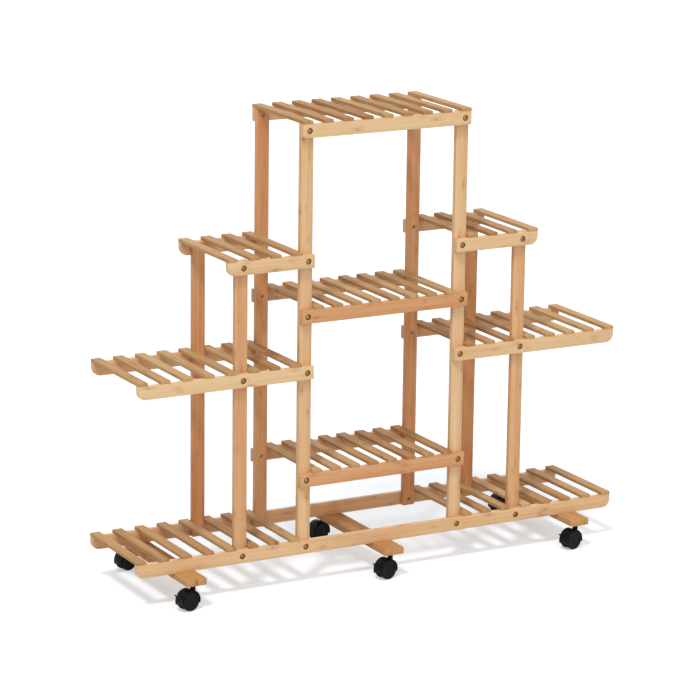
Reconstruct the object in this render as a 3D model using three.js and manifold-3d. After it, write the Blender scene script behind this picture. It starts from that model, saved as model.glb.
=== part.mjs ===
// Tiered bamboo plant stand on six swivel castors.
//
// Millimetres, +Z up, X along the length, front face towards -Y. The origin is on the floor under
// the middle of the stand. Four full-height centre posts and four shorter outer posts carry eight
// slatted decks on six levels; three cross boards under the bottom deck carry the castors.

import * as THREE from 'three';
import { mergeVertices } from 'three/addons/utils/BufferGeometryUtils.js';
import Module from 'manifold-3d';

const wasm = await Module();
wasm.setup();

// ---------------------------------------------------------------- driving dimensions

// Laths
const postWidth = 25;
const postThick = 10;
const railHeight = 25;
const railThick = 10;
const slatWidth = 19;
const slatThick = 6;
const lathEase = 1.2; // chamfer on the long edges of posts and slats
const railEndRadius = 15; // rounded lower corner of a free rail end
const railEndSteps = 5;
const slatClear = 0.4; // between a post and the slats beside it

// Plan of the stand
const deckDepth = 200;
const centrePostX = 159;
const outerPostX = 288;
const sideLowerReach = 494;
const bottomReach = 498;

// Rail centre heights above the bottom rail centre
const centreLowerRise = 125;
const sideLowerRise = 326;
const centreUpperRise = 429;
const sideUpperRise = 530.5;
const topRise = 765.5;

// Slats in each run
const topSlats = 9;
const centreSlats = 8;
const slatsBetweenPosts = 3;
const slatsOutsideLower = 5;
const slatsOutsideUpper = 1;

// Bolts through rail and post
const boltHoleRadius = 3.3;
const boltHeadRadius = 5.4;
const boltHeadDepth = 4;
const boltSides = 8;

// Cross boards that carry the castors
const boardWidth = 40;
const boardThick = 12;
const boardLength = 295;
const boardCornerRadius = 4;
const boardCornerSteps = 3;
const boardInset = 95.5; // from the bottom deck's end to the middle of a side board
const castorInset = 17.5; // from a board's end to the middle of a stem

// Castors
const castorHeight = 47;
const castorTrail = 11;
const castorHeading = 13; // degrees that every castor rests turned about its stem
const wheelRadius = 18;
const wheelWidth = 5.7;
const wheelSides = 22;
const wheelEase = 1.4;
const wheelDishRadius = 12.6;
const wheelDishDepth = 1.2;
const wheelBoreFloor = 1.6; // plastic left between the bore and the dished face
const bodyThick = 10;
const wheelGap = 0.3;
const axleRadius = 2.5;
const axleSides = 12;
const axleBoreGap = 0.25;
const axleBossRadius = 7;
const axleBossFrom = 225; // degrees, the part of the boss below the body
const axleBossTo = 315;
const hoodWall = 1.5;
const hoodGap = 1; // between the tread and the inside of the hood
const hoodLip = 0.2; // hood beyond the outer face of a wheel
const hoodLead = -15; // degrees, end of the hood on the stem's side
const hoodTail = 195; // degrees, end of a plain hood on the trailing side
const hoodSteps = 12;
const stemSides = 10;
const stemThreadRadius = 4;
const stemThreadLength = 9;
const stemHoleGap = 0.3;
const stemCollarRadius = 6;
const stemCollarThick = 2;
const stemPinRadius = 3;
const stemPinLength = 21;
const swivelGap = 0.3;

// Foot brake on a front castor
const brakePivotRadius = 13; // pivot's distance from the axle
const brakePivotAngle = 150; // degrees
const brakeSides = 8;
const brakePinRadius = 1.2;
const brakePinGap = 0.25;
const brakeHubRadius = 3;
const brakeHubRoom = 1; // around the hub inside the body
const brakeSlotGap = 0.4; // between the lever and the cheeks beside it
const brakeCheek = 1.5; // wall left on each side of the lever
const brakeShoeGap = 1.6; // between the tread and the released shoe
const brakeShoeThick = 1.6;
const brakeShoeWidth = 20;
const brakeTabReach = 5.5;
const brakeTabWidth = 18;
const brakeTabSpan = 6; // degrees
const brakeSplit = 1.5; // degrees, between the hood's end and the shoe
const brakeThroatLead = 0.5; // degrees that the lever's slot starts inside the hood's end
const brakeThroatPast = 5; // degrees that the lever's slot runs past the hood's tail

const cutPast = 1; // how far a cutter runs out of the piece that it cuts

// ---------------------------------------------------------------- derived sizes

const halfDepth = deckDepth / 2;
const halfPost = postWidth / 2;
const railInside = halfDepth - railThick;
const postEdge = halfPost + slatClear;
const centreReach = centrePostX + halfPost;
const sideUpperReach = outerPostX + postEdge + slatsOutsideUpper * slatWidth;
const boardX = bottomReach - boardInset;
const castorY = boardLength / 2 - castorInset;

const bottomRailUnderside = castorHeight + boardThick;
const bottomLevel = bottomRailUnderside + railHeight / 2;
const levels = {
  bottom: bottomLevel,
  centreLower: bottomLevel + centreLowerRise,
  sideLower: bottomLevel + sideLowerRise,
  centreUpper: bottomLevel + centreUpperRise,
  sideUpper: bottomLevel + sideUpperRise,
  top: bottomLevel + topRise,
};

// A flat of the faceted tread rests on the floor.
const wheelCentreZ = wheelRadius * Math.cos(Math.PI / wheelSides);
const hoodInner = wheelRadius + hoodGap;
const hoodOuter = hoodInner + hoodWall;
const wheelInsideY = bodyThick / 2 + wheelGap;
const wheelBoreDepth = wheelWidth - wheelDishDepth - wheelBoreFloor;
const axleBoreRadius = axleRadius + axleBoreGap;
const hoodWidth = 2 * (wheelInsideY + wheelWidth + hoodLip);
const socketRadius = bodyThick / 2; // no wider than the body, clear of the wheels
const socketTop = castorHeight - stemCollarThick - swivelGap;
const shoeInner = wheelRadius + brakeShoeGap;
const shoeOuter = shoeInner + brakeShoeThick;
const brakeHoodTail = brakePivotAngle - brakeSplit;
const leverWidth = bodyThick - 2 * (brakeCheek + brakeSlotGap);

// ---------------------------------------------------------------- solids

const radians = THREE.MathUtils.degToRad;

/** Turns a closed three.js geometry into a solid that can be joined and cut. */
function solid(geometry) {
  const bare = geometry.clone();
  bare.deleteAttribute('normal');
  bare.deleteAttribute('uv');
  const merged = mergeVertices(bare, 1e-4);
  return new wasm.Manifold(new wasm.Mesh({
    numProp: 3,
    vertProperties: new Float32Array(merged.attributes.position.array),
    triVerts: new Uint32Array(merged.index.array),
  }));
}

/** Turns a solid back into a three.js geometry with flat faces. */
function geometryOf(body) {
  const { vertProperties, triVerts } = body.getMesh();
  const geometry = new THREE.BufferGeometry();
  geometry.setAttribute('position', new THREE.BufferAttribute(vertProperties, 3));
  geometry.setIndex(new THREE.BufferAttribute(triVerts, 1));
  const flat = geometry.toNonIndexed();
  flat.computeVertexNormals();
  return flat;
}

function join(bodies) {
  return bodies.reduce((sum, body) => sum.add(body));
}

function cut(body, cutters) {
  return cutters.reduce((rest, cutter) => rest.subtract(cutter), body);
}

/** Extrudes a section drawn in X and Y from height z0 to z1. */
function extrudeUp(outline, z0, z1) {
  const options = { depth: z1 - z0, bevelEnabled: false };
  return new THREE.ExtrudeGeometry(new THREE.Shape(outline), options).translate(0, 0, z0);
}

/** Extrudes a side view drawn in X and Z from y0 to y1. */
function extrudeBack(outline, y0, y1) {
  const options = { depth: y1 - y0, bevelEnabled: false };
  const body = new THREE.ExtrudeGeometry(new THREE.Shape(outline), options);
  return body.rotateX(Math.PI / 2).translate(0, y1, 0);
}

/** A round rod along Y from y0 to y1, centred on (x, z). */
function rodY(radius, x, z, y0, y1, sides) {
  const rod = new THREE.CylinderGeometry(radius, radius, y1 - y0, sides);
  return rod.translate(x, (y0 + y1) / 2, z);
}

/** A round rod along Z from z0 to z1, centred on (x, y). */
function rodZ(radius, x, y, z0, z1, sides) {
  const rod = new THREE.CylinderGeometry(radius, radius, z1 - z0, sides);
  return rod.rotateX(Math.PI / 2).translate(x, y, (z0 + z1) / 2);
}

function points(...pairs) {
  return pairs.map(([x, y]) => new THREE.Vector2(x, y));
}

function polar(radius, degrees) {
  return new THREE.Vector2(
    radius * Math.cos(radians(degrees)),
    radius * Math.sin(radians(degrees)),
  );
}

/** Points along an arc about a centre, from one angle to another in degrees. */
function arc(x, y, radius, from, to, steps) {
  return Array.from({ length: steps + 1 }, (_, i) => (
    polar(radius, from + ((to - from) * i) / steps).add(new THREE.Vector2(x, y))
  ));
}

/** A ring sector about the axle. */
function sector(inner, outer, from, to, steps) {
  return [...arc(0, 0, outer, from, to, steps), ...arc(0, 0, inner, to, from, steps)];
}

// ---------------------------------------------------------------- materials

function bamboo(color) {
  return new THREE.MeshStandardMaterial({ color, roughness: 0.5, metalness: 0 });
}

function blackPlastic() {
  return new THREE.MeshStandardMaterial({ color: 0x1b1b1c, roughness: 0.5, metalness: 0 });
}

function zincSteel() {
  return new THREE.MeshStandardMaterial({ color: 0x8d8f92, roughness: 0.35, metalness: 1 });
}

function mesh(name, geometry, material) {
  const piece = new THREE.Mesh(geometry, material);
  piece.name = name;
  return piece;
}

// ---------------------------------------------------------------- posts

/** A lath section with its four long edges eased. */
function easedRectangle(width, thickness, ease) {
  const x = width / 2;
  const y = thickness / 2;
  return points(
    [-x + ease, -y],
    [x - ease, -y],
    [x, -y + ease],
    [x, y - ease],
    [x - ease, y],
    [-x + ease, y],
    [-x, y - ease],
    [-x, -y + ease],
  );
}

/** A post at x on the front (-1) or rear (1) side, drilled for one bolt at each level. */
function post(name, x, side, topLevel, boltLevels) {
  const y = side * (railInside - postThick / 2);
  const lath = extrudeUp(
    easedRectangle(postWidth, postThick, lathEase),
    bottomRailUnderside,
    topLevel + railHeight / 2,
  ).translate(x, y, 0);
  const holes = boltLevels.map((z) => (
    solid(rodY(boltHoleRadius, x, z, y - postThick, y + postThick, boltSides))
  ));
  return mesh(name, geometryOf(cut(solid(lath), holes)), bamboo(0xd8a873));
}

// ---------------------------------------------------------------- decks

/** Middles of slats spread evenly between two edges, the outer ones flush with them. */
function slatRow(from, to, count) {
  if (count === 1) return [to - slatWidth / 2];
  const pitch = (to - from - slatWidth) / (count - 1);
  return Array.from({ length: count }, (_, i) => from + slatWidth / 2 + i * pitch);
}

/** Side view of a rail from one end to the other, its free ends rounded below. */
function railOutline(from, to, level, freeStart, freeEnd) {
  const low = level - railHeight / 2;
  const high = level + railHeight / 2;
  const r = railEndRadius;
  return [
    ...points([to, high], [from, high]),
    ...(freeStart ? arc(from + r, low + r, r, 180, 270, railEndSteps) : points([from, low])),
    ...(freeEnd ? arc(to - r, low + r, r, 270, 360, railEndSteps) : points([to, low])),
  ];
}

/** A rail on the front (-1) or rear (1) side with a counterbored bolt hole at each post. */
function rail(deck, side) {
  const outline = railOutline(deck.from, deck.to, deck.level, deck.freeStart, deck.freeEnd);
  const [y0, y1] = side < 0 ? [-halfDepth, -railInside] : [railInside, halfDepth];
  const outside = side * halfDepth;
  const headFloor = outside - side * boltHeadDepth;
  const headMouth = outside + side * cutPast;
  const cutters = deck.boltXs.flatMap((x) => [
    rodY(boltHoleRadius, x, deck.level, y0 - cutPast, y1 + cutPast, boltSides),
    rodY(
      boltHeadRadius,
      x,
      deck.level,
      Math.min(headMouth, headFloor),
      Math.max(headMouth, headFloor),
      boltSides,
    ),
  ]);
  return cut(solid(extrudeBack(outline, y0, y1)), cutters.map(solid));
}

/** A slat across both rails, its upper edges eased, drawn as an end view and run along Y. */
function slat(x, level) {
  const low = level + railHeight / 2;
  const high = low + slatThick;
  const half = slatWidth / 2;
  const section = points(
    [x - half, low],
    [x + half, low],
    [x + half, high - lathEase],
    [x + half - lathEase, high],
    [x - half + lathEase, high],
    [x - half, high - lathEase],
  );
  return solid(extrudeBack(section, -halfDepth, halfDepth));
}

/** Two rails with the slats glued and stapled on top, as the deck comes out of its jig. */
function deckMesh(deck) {
  const slats = deck.slatXs.map((x) => slat(x, deck.level));
  const body = join([rail(deck, -1), rail(deck, 1), ...slats]);
  return mesh(deck.name, geometryOf(body), bamboo(0xe0b27c));
}

/** Slats on the right-hand wing: some between the posts, the others outside the outer post. */
function wingSlats(reach, outsideCount) {
  const between = slatRow(centrePostX + postEdge, outerPostX - postEdge, slatsBetweenPosts);
  return [...between, ...slatRow(outerPostX + postEdge, reach, outsideCount)];
}

const mirrored = (xs) => xs.map((x) => -x).reverse();

function centreDeck(name, level, slatXs) {
  return {
    name,
    level,
    slatXs,
    from: -centreReach,
    to: centreReach,
    freeStart: false,
    freeEnd: false,
    boltXs: [-centrePostX, centrePostX],
  };
}

/** A side deck on the left (-1) or right (1), from the centre post out past the outer post. */
function sideDeck(name, level, hand, reach, outsideCount) {
  const inner = centrePostX - halfPost;
  const slatXs = wingSlats(reach, outsideCount);
  const boltXs = [centrePostX, outerPostX];
  const right = hand > 0;
  return {
    name,
    level,
    slatXs: right ? slatXs : mirrored(slatXs),
    from: right ? inner : -reach,
    to: right ? reach : -inner,
    freeStart: !right,
    freeEnd: right,
    boltXs: right ? boltXs : mirrored(boltXs),
  };
}

const bottomWing = wingSlats(bottomReach, slatsOutsideLower);
const bottomDeck = {
  name: 'bottom_deck',
  level: levels.bottom,
  slatXs: [...mirrored(bottomWing), ...bottomWing],
  from: -bottomReach,
  to: bottomReach,
  freeStart: true,
  freeEnd: true,
  boltXs: [-outerPostX, -centrePostX, centrePostX, outerPostX],
};

const insidePosts = centrePostX - postEdge;
const centreRow = slatRow(-insidePosts, insidePosts, centreSlats);
const topRow = slatRow(-centreReach, centreReach, topSlats);
const decks = [
  centreDeck('top_deck', levels.top, topRow),
  centreDeck('centre_upper_deck', levels.centreUpper, centreRow),
  centreDeck('centre_lower_deck', levels.centreLower, centreRow),
  bottomDeck,
];
for (const [word, hand] of [['left', -1], ['right', 1]]) {
  decks.push(
    sideDeck(
      `side_upper_deck_${word}`,
      levels.sideUpper,
      hand,
      sideUpperReach,
      slatsOutsideUpper,
    ),
    sideDeck(`side_lower_deck_${word}`, levels.sideLower, hand, sideLowerReach, slatsOutsideLower),
  );
}

// ---------------------------------------------------------------- castor boards

/** A cross board under the bottom rails, drilled from below for the two castor stems. */
function castorBoard(name, x) {
  const halfX = boardWidth / 2;
  const halfY = boardLength / 2;
  const r = boardCornerRadius;
  const plan = [
    ...arc(halfX - r, -halfY + r, r, 270, 360, boardCornerSteps),
    ...arc(halfX - r, halfY - r, r, 0, 90, boardCornerSteps),
    ...arc(-halfX + r, halfY - r, r, 90, 180, boardCornerSteps),
    ...arc(-halfX + r, -halfY + r, r, 180, 270, boardCornerSteps),
  ];
  const board = extrudeUp(plan, castorHeight, bottomRailUnderside).translate(x, 0, 0);
  const holeBottom = castorHeight - cutPast;
  const holeTop = castorHeight + stemThreadLength + stemHoleGap;
  const holes = [-castorY, castorY].map((y) => (
    solid(rodZ(stemThreadRadius + stemHoleGap, x, y, holeBottom, holeTop, stemSides))
  ));
  return mesh(name, geometryOf(cut(solid(board), holes)), bamboo(0xc98f57));
}

// ---------------------------------------------------------------- castors
//
// Each castor is drawn with its swivel axis on X = Y = 0, the floor at Z = 0 and its wheels
// trailing towards -X, and then turned to its heading. Angles in a side view are taken from +X
// about the axle.

/** The steel stem: thread in the board, collar under it, plain pin down into the socket. */
function stemGeometry() {
  const collarBottom = -stemCollarThick;
  const profile = points(
    [0, -stemPinLength - stemCollarThick],
    [stemPinRadius, -stemPinLength - stemCollarThick],
    [stemPinRadius, collarBottom],
    [stemCollarRadius, collarBottom],
    [stemCollarRadius, 0],
    [stemThreadRadius, 0],
    [stemThreadRadius, stemThreadLength],
    [0, stemThreadLength],
  );
  const turned = new THREE.LatheGeometry(profile, stemSides);
  return turned.rotateX(Math.PI / 2).translate(0, 0, castorHeight);
}

/** Side view of the body between the wheels, from the stem's side round to the tail. */
function bodyOutline(braked) {
  const reach = hoodInner + hoodWall / 2;
  const cheekReach = brakePivotRadius + brakePinRadius + brakeCheek;
  return [
    ...arc(0, 0, reach, hoodLead, braked ? brakeHoodTail : hoodTail, hoodSteps),
    ...(braked ? arc(0, 0, cheekReach, brakeHoodTail, hoodTail, 3) : []),
    ...arc(0, 0, axleBossRadius, axleBossFrom, axleBossTo, 4),
  ];
}

/** The moulded hood: a body between the wheels, the arched cover over them, the stem socket. */
function hoodGeometry(braked) {
  const tail = braked ? brakeHoodTail : hoodTail;
  const cover = extrudeBack(
    sector(hoodInner, hoodOuter, hoodLead, tail, hoodSteps),
    -hoodWidth / 2,
    hoodWidth / 2,
  );
  const body = extrudeBack(bodyOutline(braked), -bodyThick / 2, bodyThick / 2);
  const socketFloor = socketTop - wheelCentreZ - stemPinLength;
  const socket = rodZ(
    socketRadius,
    castorTrail,
    0,
    hoodInner * Math.sin(Math.acos((castorTrail + socketRadius) / hoodInner)),
    socketTop - wheelCentreZ,
    stemSides,
  );
  const cutters = [
    rodZ(stemPinRadius + swivelGap, castorTrail, 0, socketFloor, castorHeight, stemSides),
    rodY(axleBoreRadius, 0, 0, -bodyThick, bodyThick, axleSides),
  ];
  if (braked) {
    const pivot = polar(brakePivotRadius, brakePivotAngle);
    const slotHalf = leverWidth / 2 + brakeSlotGap;
    const throat = sector(
      brakePivotRadius - brakeHubRadius - brakeHubRoom,
      hoodOuter + cutPast,
      brakeHoodTail - brakeThroatLead,
      hoodTail + brakeThroatPast,
      3,
    );
    cutters.push(
      rodY(brakeHubRadius + brakeHubRoom, pivot.x, pivot.y, -slotHalf, slotHalf, brakeSides),
      extrudeBack(throat, -slotHalf, slotHalf),
      rodY(brakePinRadius + brakePinGap, pivot.x, pivot.y, -bodyThick, bodyThick, brakeSides),
    );
  }
  const moulding = cut(join([cover, body, socket].map(solid)), cutters.map(solid));
  return geometryOf(moulding).translate(-castorTrail, 0, wheelCentreZ);
}

/** One wheel on the +Y side: eased tread, dished outer face, blind bore for the axle. */
function wheelGeometry() {
  const dish = wheelWidth - wheelDishDepth;
  const profile = points(
    [0, wheelBoreDepth],
    [axleBoreRadius, wheelBoreDepth],
    [axleBoreRadius, 0],
    [wheelRadius, 0],
    [wheelRadius, wheelWidth - wheelEase],
    [wheelRadius - wheelEase, wheelWidth],
    [wheelDishRadius, wheelWidth],
    [wheelDishRadius - wheelDishDepth, dish],
    [0, dish],
  );
  return new THREE.LatheGeometry(profile, wheelSides, Math.PI / wheelSides);
}

/** The brake lever: tab, shoe over both treads, arm and pivot pin in one moulding. */
function brakeLeverGeometry() {
  const pivot = polar(brakePivotRadius, brakePivotAngle);
  const shoe = sector(shoeInner, shoeOuter, brakePivotAngle, hoodTail, 4);
  const tab = sector(
    shoeInner + brakeShoeThick / 2,
    shoeOuter + brakeTabReach,
    brakePivotAngle,
    brakePivotAngle + brakeTabSpan,
    1,
  );
  const arm = [
    polar(brakePivotRadius - brakeHubRadius / 2, brakePivotAngle + 4),
    polar(shoeInner + brakeShoeThick / 2, brakePivotAngle + 3),
    polar(shoeInner + brakeShoeThick / 2, brakePivotAngle + 24),
  ];
  const half = leverWidth / 2;
  const parts = [
    extrudeBack(shoe, -brakeShoeWidth / 2, brakeShoeWidth / 2),
    extrudeBack(tab, -brakeTabWidth / 2, brakeTabWidth / 2),
    extrudeBack(arm, -half, half),
    rodY(brakeHubRadius, pivot.x, pivot.y, -half, half, brakeSides),
    rodY(brakePinRadius, pivot.x, pivot.y, -bodyThick / 2, bodyThick / 2, brakeSides),
  ];
  return geometryOf(join(parts.map(solid))).translate(-castorTrail, 0, wheelCentreZ);
}

/** One castor under a board, with a foot brake on the front ones. */
function castor(prefix, x, y, braked) {
  const group = new THREE.Group();
  group.position.set(x, y, 0);
  const swivel = new THREE.Group();
  swivel.rotation.z = radians(castorHeading);
  const axleHalf = wheelInsideY + wheelBoreDepth - axleBoreGap;
  const axle = rodY(axleRadius, -castorTrail, wheelCentreZ, -axleHalf, axleHalf, axleSides);
  const rearWheel = mesh(`${prefix}_wheel_rear`, wheelGeometry(), blackPlastic());
  rearWheel.position.set(-castorTrail, wheelInsideY, wheelCentreZ);
  const frontWheel = mesh(`${prefix}_wheel_front`, wheelGeometry(), blackPlastic());
  frontWheel.rotation.x = Math.PI;
  frontWheel.position.set(-castorTrail, -wheelInsideY, wheelCentreZ);
  swivel.add(
    mesh(`${prefix}_hood`, hoodGeometry(braked), blackPlastic()),
    mesh(`${prefix}_axle`, axle, zincSteel()),
    frontWheel,
    rearWheel,
  );
  if (braked) swivel.add(mesh(`${prefix}_brake_lever`, brakeLeverGeometry(), blackPlastic()));
  return group.add(mesh(`${prefix}_stem`, stemGeometry(), zincSteel()), swivel);
}

// ---------------------------------------------------------------- the stand

const group = new THREE.Group();

const centreBoltLevels = Object.values(levels);
const outerBoltLevels = [levels.bottom, levels.sideLower, levels.sideUpper];
for (const [depthWord, side] of [['front', -1], ['rear', 1]]) {
  for (const [handWord, hand] of [['left', -1], ['right', 1]]) {
    const place = `${depthWord}_${handWord}`;
    group.add(
      post(`centre_post_${place}`, hand * centrePostX, side, levels.top, centreBoltLevels),
      post(`outer_post_${place}`, hand * outerPostX, side, levels.sideUpper, outerBoltLevels),
    );
  }
}

for (const deck of decks) group.add(deckMesh(deck));

for (const [word, x] of [['left', -boardX], ['middle', 0], ['right', boardX]]) {
  group.add(
    castorBoard(`castor_board_${word}`, x),
    castor(`castor_front_${word}`, x, -castorY, true),
    castor(`castor_rear_${word}`, x, castorY, false),
  );
}

export default group;
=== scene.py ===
"""Dresses the stepped bamboo plant stand: laths, bolts, cross boards and castors."""

import logging
import math
import random
from collections.abc import Callable, Iterator, Sequence
from contextlib import contextmanager
from dataclasses import dataclass
from enum import Enum

import bmesh
import bpy
from mathutils import Matrix, Vector


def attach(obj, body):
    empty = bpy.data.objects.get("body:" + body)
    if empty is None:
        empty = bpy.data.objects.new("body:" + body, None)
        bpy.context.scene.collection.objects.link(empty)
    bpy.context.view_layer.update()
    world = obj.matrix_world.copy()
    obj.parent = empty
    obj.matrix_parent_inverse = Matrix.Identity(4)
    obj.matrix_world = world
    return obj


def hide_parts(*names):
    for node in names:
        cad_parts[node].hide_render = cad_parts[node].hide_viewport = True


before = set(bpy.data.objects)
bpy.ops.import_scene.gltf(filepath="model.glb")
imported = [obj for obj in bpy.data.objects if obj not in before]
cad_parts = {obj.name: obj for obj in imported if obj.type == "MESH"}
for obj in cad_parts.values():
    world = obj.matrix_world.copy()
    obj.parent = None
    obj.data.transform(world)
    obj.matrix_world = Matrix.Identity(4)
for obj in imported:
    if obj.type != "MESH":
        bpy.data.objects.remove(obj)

log = logging.getLogger("plant_stand")

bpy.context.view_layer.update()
MM = 0.001
SMOOTH_ANGLE = math.radians(35)
SAME_PLACE = 1e-6
FACING = ((0, math.pi / 2, 0), (math.pi / 2, 0, 0), (0, 0, 0))
TONES = random.Random(27)

Place = tuple[float, float, float]
Pair = tuple[float, float]
Piece = bpy.types.Object
Material = bpy.types.Material
Tree = bpy.types.NodeTree
Node = bpy.types.Node
Socket = bpy.types.NodeSocket


# ------------------------------------------------------------------ modelling by hand


def deselect() -> None:
    """Leaves nothing selected, in object mode."""
    if bpy.context.mode != "OBJECT":
        bpy.ops.object.mode_set(mode="OBJECT")
    bpy.ops.object.select_all(action="DESELECT")


def activate(piece: Piece) -> None:
    """Leaves one piece selected and active, in object mode."""
    deselect()
    piece.select_set(True)
    bpy.context.view_layer.objects.active = piece


@contextmanager
def editing(piece: Piece) -> Iterator[None]:
    """Holds one piece in edit mode.

    Args:
        piece: The mesh object to edit.
    """
    activate(piece)
    bpy.ops.object.mode_set(mode="EDIT")
    yield
    bpy.ops.object.mode_set(mode="OBJECT")


def bevel_edges(piece: Piece, test: Callable[..., bool], width: float, segments: int = 3) -> None:
    """Bevels those edges of a piece in edit mode that pass a test.

    Args:
        piece: The mesh object being edited.
        test: Takes an edge and says whether it is wanted.
        width: How far the bevel reaches from the edge, in metres.
        segments: How many facets the bevel has.
    """
    bpy.ops.mesh.select_mode(type="EDGE")
    bpy.ops.mesh.select_all(action="DESELECT")
    wanted = [edge for edge in bmesh.from_edit_mesh(piece.data).edges if test(edge)]
    for edge in wanted:
        edge.select_set(True)
    bmesh.update_edit_mesh(piece.data)
    if wanted:
        bpy.ops.mesh.bevel(offset=width, segments=segments, affect="EDGES")


def round_sharp(width: float) -> None:
    """Rounds the sharp edges of the mesh in edit mode, width being in metres."""
    bpy.ops.mesh.select_mode(type="EDGE")
    bpy.ops.mesh.select_all(action="DESELECT")
    bpy.ops.mesh.edges_select_sharp(sharpness=SMOOTH_ANGLE)
    bpy.ops.mesh.bevel(offset=width, segments=3, affect="EDGES")


def named(name: str) -> Piece:
    """Names the piece that an operator has just added, its place and turn put into its mesh."""
    piece = bpy.context.active_object
    piece.name = piece.data.name = name
    activate(piece)
    bpy.ops.object.transform_apply(location=True, rotation=True, scale=True)
    return piece


def block(name: str, low: Place, high: Place) -> Piece:
    """Adds a plain block between two corners, ready to be shaped.

    Args:
        name: The piece's name.
        low: Its lowest corner, in metres.
        high: Its highest corner, in metres.

    Returns:
        The block.
    """
    deselect()
    size = [b - a for a, b in zip(low, high)]
    centre = [(a + b) / 2 for a, b in zip(low, high)]
    bpy.ops.mesh.primitive_cube_add(size=1, location=centre, scale=size)
    return named(name)


def rod(name: str, radius: float, low: Place, axis: int, length: float, sides: int = 32) -> Piece:
    """Adds a round rod from a point along an axis, ready to be shaped.

    Args:
        name: The piece's name.
        radius: The rod's radius, in metres.
        low: The middle of its first end.
        axis: 0, 1 or 2 for X, Y or Z.
        length: How far it reaches along that axis.
        sides: How many flats the circle has.

    Returns:
        The rod.
    """
    deselect()
    centre = Vector(low)
    centre[axis] += length / 2
    bpy.ops.mesh.primitive_cylinder_add(
        vertices=sides, radius=radius, depth=length, location=centre, rotation=FACING[axis]
    )
    return named(name)


def turned(name: str, centre: Place, axis: int, profile: Sequence[Pair], sides: int) -> Piece:
    """Draws a turned shape out of a disc, one extrusion for each step of its profile.

    Args:
        name: The piece's name.
        centre: The point on the axis that heights are counted from.
        axis: 0, 1 or 2 for X, Y or Z.
        profile: (height, radius) in metres, from the first end to the last.
        sides: How many flats the circle has.

    Returns:
        The closed shape.
    """
    deselect()
    height, radius = profile[0]
    start = Vector(centre)
    start[axis] += height
    bpy.ops.mesh.primitive_circle_add(
        vertices=sides, radius=radius, fill_type="NGON", location=start, rotation=FACING[axis]
    )
    piece = named(name)
    with editing(piece):
        bpy.ops.mesh.select_mode(type="FACE")
        bpy.ops.mesh.select_all(action="SELECT")
        for next_height, next_radius in profile[1:]:
            move = [0.0, 0.0, 0.0]
            move[axis] = next_height - height
            bpy.ops.mesh.extrude_region_move(TRANSFORM_OT_translate={"value": move})
            grow = [next_radius / radius] * 3
            grow[axis] = 1.0
            middle = Vector(centre)
            middle[axis] += next_height
            bpy.ops.transform.resize(value=grow, center_override=middle)
            height, radius = next_height, next_radius
        bpy.ops.mesh.select_all(action="SELECT")
        bpy.ops.mesh.normals_make_consistent(inside=False)
    return piece


def ring_sector(
    name: str, centre: Place, radii: Pair, angles: Pair, half_width: float, steps: int = 24
) -> Piece:
    """Spins a strip about the Y axis into a closed sector of a ring.

    Args:
        name: The piece's name.
        centre: The point on the axis in the middle of the ring's width.
        radii: The inner and outer radius, in metres.
        angles: The first and last angle in degrees, from +X towards +Z.
        half_width: How far the ring reaches to either side of the centre along Y.
        steps: How many facets the sector has along its arc.

    Returns:
        The sector.
    """
    deselect()
    inner, outer = radii
    first, last = (math.radians(a) for a in angles)
    bpy.ops.mesh.primitive_plane_add(size=1, location=((inner + outer) / 2, 0, 0))
    bpy.context.active_object.scale = (outer - inner, 2 * half_width, 1)
    piece = named(name)
    with editing(piece):
        bpy.ops.mesh.select_all(action="SELECT")
        bpy.ops.mesh.spin(steps=steps, angle=last - first, center=(0, 0, 0), axis=(0, 1, 0))
        bpy.ops.mesh.select_all(action="SELECT")
        bpy.ops.mesh.remove_doubles(threshold=SAME_PLACE)
        bpy.ops.mesh.select_mode(type="EDGE")
        bpy.ops.mesh.select_all(action="DESELECT")
        bpy.ops.mesh.select_non_manifold()
        if piece.data.total_edge_sel:
            bpy.ops.mesh.edge_face_add()
        bpy.ops.mesh.select_all(action="SELECT")
        bpy.ops.mesh.normals_make_consistent(inside=False)
    piece.data.transform(Matrix.Translation(centre) @ Matrix.Rotation(-first, 4, "Y"))
    return piece


def combine(piece: Piece, tools: Sequence[Piece], operation: str = "DIFFERENCE") -> None:
    """Cuts tool shapes out of a piece, or joins them to it, and removes the tools.

    Args:
        piece: The piece that is kept.
        tools: Closed shapes that don't touch each other.
        operation: DIFFERENCE or UNION.
    """
    for tool in tools:
        change = piece.modifiers.new(operation.lower(), "BOOLEAN")
        change.operation = operation
        change.solver = "EXACT"
        change.object = tool
        activate(piece)
        bpy.ops.object.modifier_apply(modifier=change.name)
        remove(tool)


def shade(piece: Piece) -> Piece:
    """Shades rounded surfaces smooth, keeps real edges sharp and returns the piece."""
    activate(piece)
    bpy.ops.object.shade_smooth_by_angle(angle=SMOOTH_ANGLE)
    return piece


def join(name: str, pieces: Sequence[Piece]) -> Piece:
    """Makes one piece of several that are fixed to each other.

    Args:
        name: The joined piece's name.
        pieces: The meshes to join.

    Returns:
        The joined piece.
    """
    whole = pieces[0]
    activate(whole)
    for piece in pieces:
        piece.select_set(True)
    bpy.ops.object.join()
    whole.name = whole.data.name = name
    return whole


def copy_to(piece: Piece, name: str, move: Matrix) -> Piece:
    """Copies a piece with a mesh of its own.

    Args:
        piece: The model to copy.
        name: The copy's name.
        move: Where the copy goes, put into its mesh.

    Returns:
        The copy.
    """
    twin = piece.copy()
    twin.data = piece.data.copy()
    twin.name = twin.data.name = name
    twin.data.transform(move)
    if move.determinant() < 0:
        twin.data.flip_normals()
    bpy.context.collection.objects.link(twin)
    return twin


def remove(piece: Piece) -> None:
    """Deletes a model or tool that isn't needed any more."""
    bpy.data.objects.remove(piece, do_unlink=True)


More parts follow.
